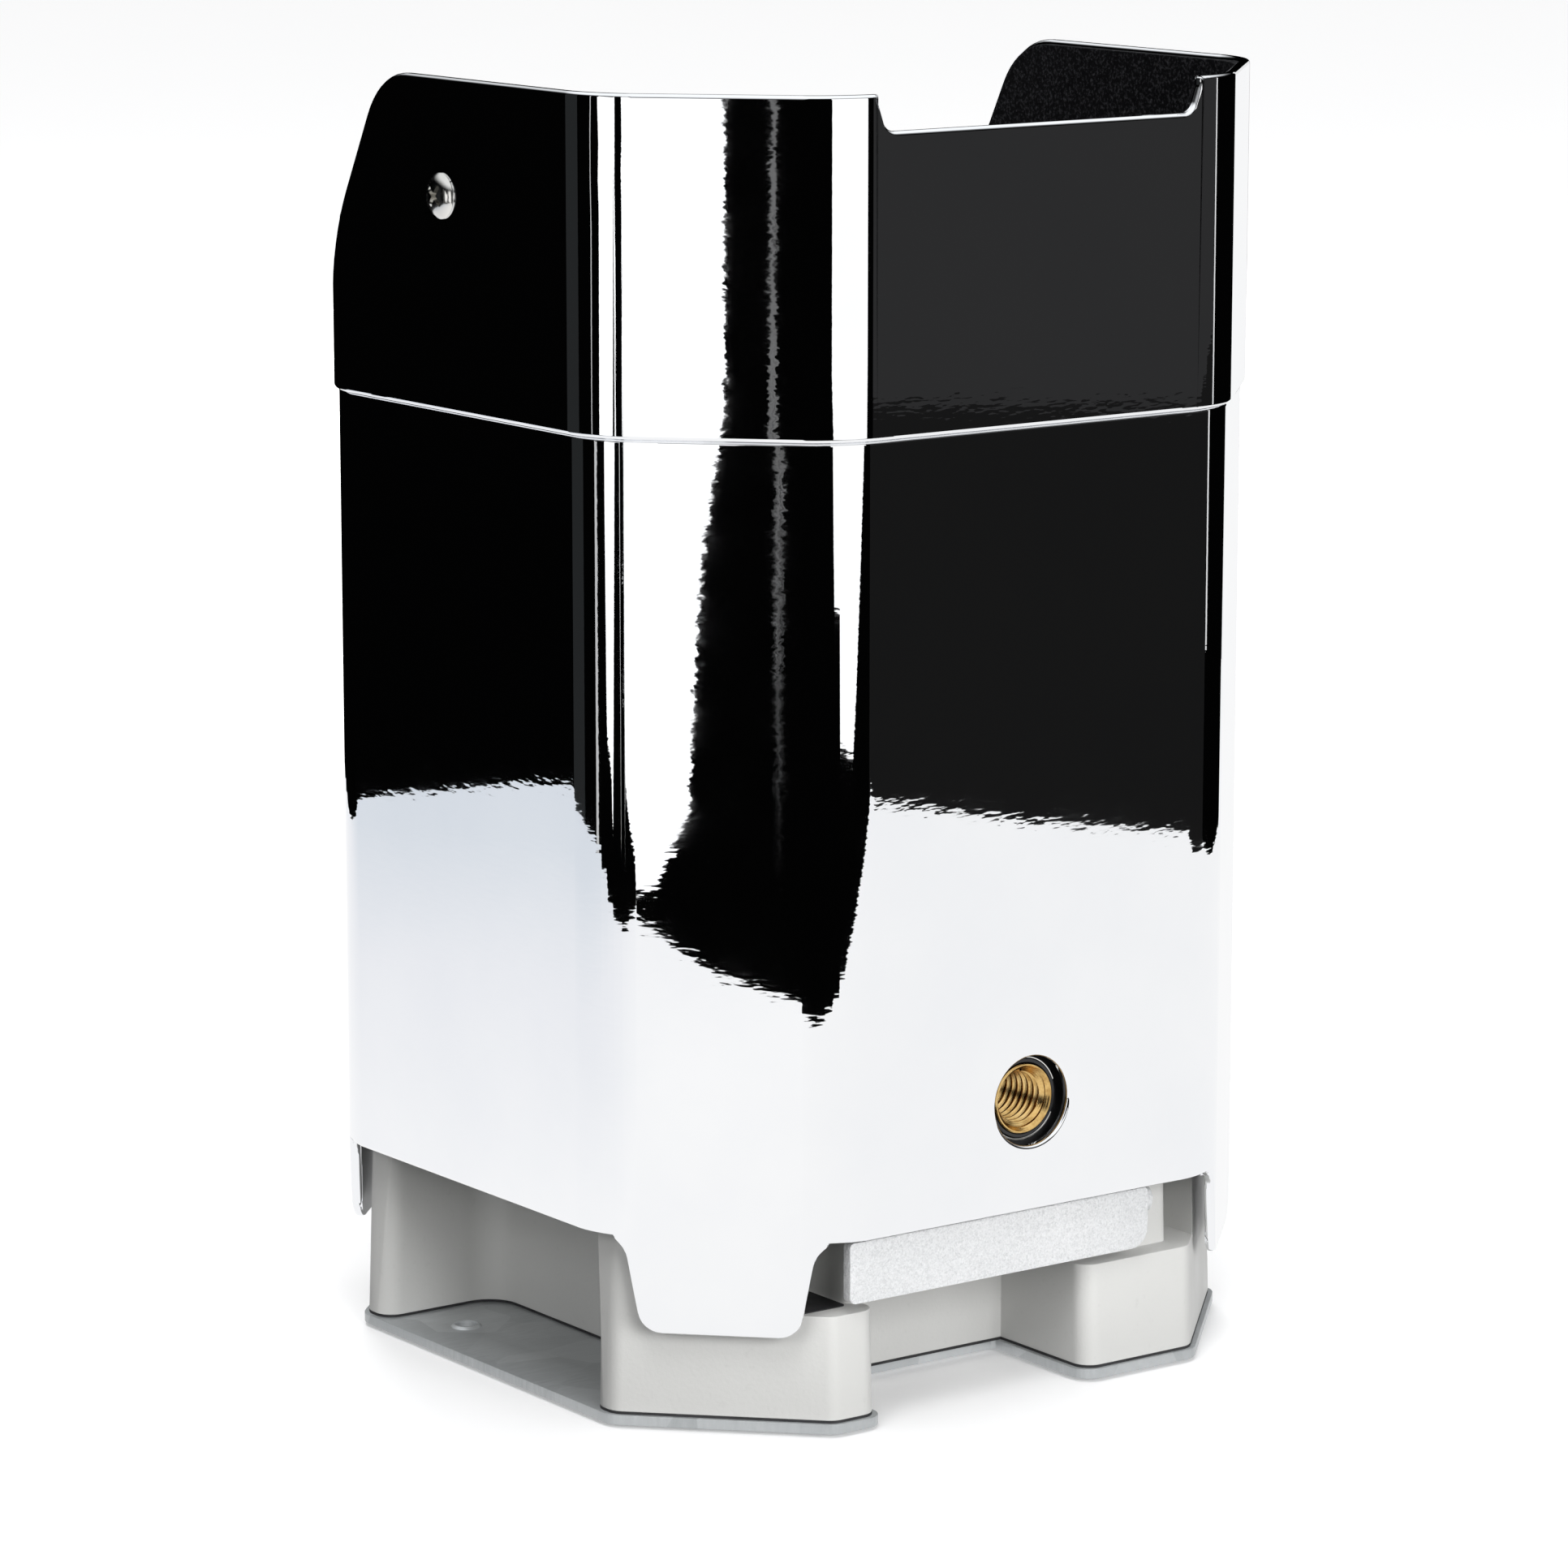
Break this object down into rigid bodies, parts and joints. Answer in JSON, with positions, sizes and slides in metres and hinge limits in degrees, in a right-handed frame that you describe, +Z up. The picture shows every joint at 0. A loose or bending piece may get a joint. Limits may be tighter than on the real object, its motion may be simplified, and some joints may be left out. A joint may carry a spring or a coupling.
{
  "type": "battery stage uplight",
  "caption": "Square battery uplight with cut-off corners in a bright two-part sleeve, with a side clamp thread, hinged front flap and recessed base.",
  "frame": {"origin": "on the floor under the middle of the light", "axes": "+Z up, front with flap and clamp thread is -Y, control panel side is +X"},
  "size_m": [0.1698, 0.166, 0.266],
  "materials": {
    "sleeve_chrome": "bright plated, faint orange peel",
    "liner_black": "matt speckled black",
    "screw_steel": "bright zinc screws",
    "base_grey": "satin light grey powder coat",
    "gasket_rubber": "matt black rubber",
    "plate_zinc": "zinc-plated sheet",
    "body_dark": "dark grey powder coat",
    "cast_alu": "sawn and bead-blasted",
    "insert_brass": "turned brass",
    "collar_black": "moulded black",
    "flap_silver": "sparkling silver powder coat",
    "switch_black": "moulded black",
    "rocker_red": "moulded red",
    "display_glass": "tinted window",
    "button_grey": "moulded grey",
    "board_green": "solder mask over glass fibre",
    "board_white": "white solder mask",
    "battery_wrap": "shrink wrap",
    "module_can": "tinned can",
    "lead_red": "red insulated wire",
    "emitter_yellow": "phosphor dome",
    "lens_clear": "moulded clear",
    "front_glass": "clear toughened"
  },
  "bodies": {
    "light": {"upper_cover": "sleeve_chrome", "lower_sleeve": "sleeve_chrome", "glare_liner": "liner_black", "cover_screws": "screw_steel", "cover_nuts": "screw_steel", "bottom_screws": "screw_steel", "hinge_pins": "screw_steel", "bezel_screws": "screw_steel", "base_housing": "base_grey", "hinge_ears": "base_grey", "base_gasket": "gasket_rubber", "glass_gasket": "gasket_rubber", "rubber_feet": "gasket_rubber", "spacer_pads": "gasket_rubber", "bottom_plate": "plate_zinc", "battery_tray": "plate_zinc", "battery_strap": "plate_zinc", "body_shell": "body_dark", "top_bezel": "body_dark", "thread_block": "cast_alu", "heat_sink": "cast_alu", "brass_insert": "insert_brass", "board_standoffs": "insert_brass", "insert_collar": "collar_black", "lens_holder": "collar_black", "antenna": "collar_black", "vent_plug": "collar_black", "switch_frame": "switch_black", "charge_socket": "switch_black", "control_panel": "switch_black", "display_window": "display_glass", "button_board": "board_green", "main_board": "board_green", "led_board": "board_white", "battery_pack": "battery_wrap", "radio_module": "module_can", "led_lead": "lead_red", "led_emitters": "emitter_yellow", "lenses": "lens_clear", "front_glass": "front_glass"},
    "flap": {"front_flap": "flap_silver"},
    "rocker": {"power_rocker": "rocker_red"},
    "mode_button": {"button_mode": "button_grey"},
    "up_button": {"button_up": "button_grey"},
    "down_button": {"button_down": "button_grey"},
    "enter_button": {"button_enter": "button_grey"}
  },
  "joints": [
    {"name": "flap_hinge", "type": "hinge", "parent": "light", "child": "flap", "pos_m": [0, -0.0755, 0.0365], "axis": [-1, 0, 0], "range_deg": [0, 90]},
    {"name": "rocker_tip", "type": "hinge", "parent": "light", "child": "rocker", "pos_m": [-0.013, -0.0693, 0.0315], "axis": [0, 0, -1], "range_deg": [0, 14]},
    {"name": "mode_press", "type": "slide", "parent": "light", "child": "mode_button", "axis": [-1, 0, 0], "range_m": [0, 0.0007], "stiffness_N_per_m": 400},
    {"name": "up_press", "type": "slide", "parent": "light", "child": "up_button", "axis": [-1, 0, 0], "range_m": [0, 0.0007], "stiffness_N_per_m": 400},
    {"name": "down_press", "type": "slide", "parent": "light", "child": "down_button", "axis": [-1, 0, 0], "range_m": [0, 0.0007], "stiffness_N_per_m": 400},
    {"name": "enter_press", "type": "slide", "parent": "light", "child": "enter_button", "axis": [-1, 0, 0], "range_m": [0, 0.0007], "stiffness_N_per_m": 400}
  ]
}
